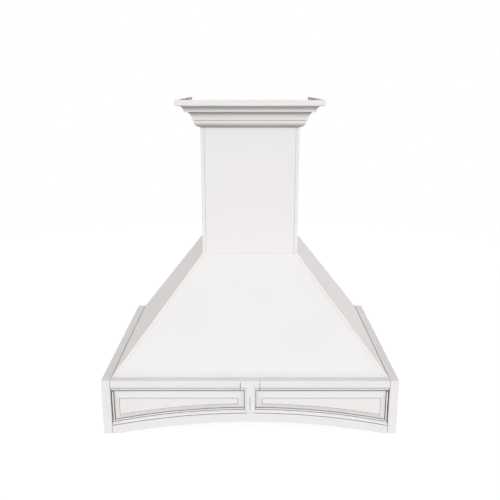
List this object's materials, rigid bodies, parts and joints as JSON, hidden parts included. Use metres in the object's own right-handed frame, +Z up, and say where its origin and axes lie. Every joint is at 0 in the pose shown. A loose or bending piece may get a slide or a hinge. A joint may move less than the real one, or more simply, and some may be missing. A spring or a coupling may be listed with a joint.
{
  "type": "range hood cover",
  "caption": "Painted wooden range hood cover: arched apron with raised panels between plain cheeks, tapering canopy, boxed chimney and a mitred crown moulding, open at the back, top and bottom.",
  "frame": {"origin": "centre of the footprint, on the plane of the cheeks' undersides", "axes": "+Z up, +Y towards the wall that it hangs on, +X to the right as seen from the front"},
  "size_m": [0.762, 0.5588, 0.844],
  "materials": {
    "painted_wood": "satin white paint on poplar and panel board",
    "bare_wood": "planed softwood, unfinished",
    "tenon_wood": "planed beech, glued",
    "screw_steel": "zinc plated"
  },
  "bodies": {
    "root": {"left_cheek": "painted_wood", "right_cheek": "painted_wood", "left_top_rail": "painted_wood", "right_top_rail": "painted_wood", "centre_stile": "painted_wood", "arched_rail": "painted_wood", "left_raised_panel": "painted_wood", "right_raised_panel": "painted_wood", "canopy_left_panel": "painted_wood", "canopy_right_panel": "painted_wood", "canopy_front_panel": "painted_wood", "chimney_left_panel": "painted_wood", "chimney_right_panel": "painted_wood", "chimney_front_panel": "painted_wood", "crown_front": "painted_wood", "crown_left_return": "painted_wood", "crown_right_return": "painted_wood", "crown_glue_blocks": "bare_wood", "left_canopy_ledger": "bare_wood", "right_canopy_ledger": "bare_wood", "front_canopy_ledger": "bare_wood", "left_liner_ledger": "bare_wood", "right_liner_ledger": "bare_wood", "front_liner_ledger": "bare_wood", "back_liner_ledger": "bare_wood", "lower_wall_rail": "bare_wood", "upper_wall_rail": "bare_wood", "left_foot_cleat": "bare_wood", "right_foot_cleat": "bare_wood", "front_foot_cleat": "bare_wood", "left_hip_batten": "bare_wood", "right_hip_batten": "bare_wood", "left_corner_batten": "bare_wood", "right_corner_batten": "bare_wood", "frame_tenons": "tenon_wood", "ledger_screws": "screw_steel"}
  },
  "joints": []
}
